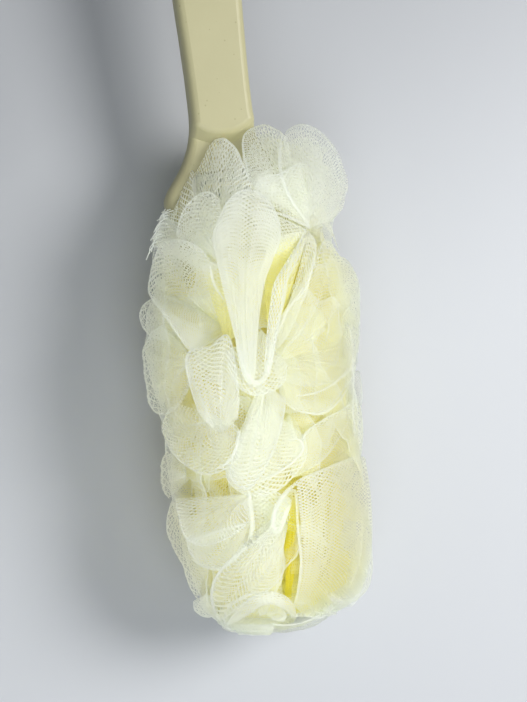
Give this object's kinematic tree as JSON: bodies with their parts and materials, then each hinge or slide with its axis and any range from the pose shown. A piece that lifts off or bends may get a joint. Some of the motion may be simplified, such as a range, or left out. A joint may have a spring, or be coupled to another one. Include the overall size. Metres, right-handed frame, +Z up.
{
  "type": "loofah back scrubber",
  "caption": "Long-handled bath back scrubber: cream plastic handle with an elongated head covered in gathered pale yellow nylon net.",
  "frame": {"origin": "centre of the bounding box at the surface that the scrubber lies on", "axes": "+X across the handle, +Y along the handle from the net to the tip, +Z up from the surface, through the face that is seen"},
  "size_m": [0.085, 0.405, 0.08],
  "materials": {
    "handle_plastic": "satin",
    "net_nylon": "matte",
    "cord_nylon": "matte"
  },
  "bodies": {
    "root": {"handle": "handle_plastic", "net_bundle_1": "net_nylon", "net_bundle_2": "net_nylon", "net_bundle_3": "net_nylon", "net_bundle_4": "net_nylon", "tie_cord_1": "cord_nylon", "tie_cord_2": "cord_nylon", "tie_cord_3": "cord_nylon", "tie_cord_4": "cord_nylon"}
  },
  "joints": []
}
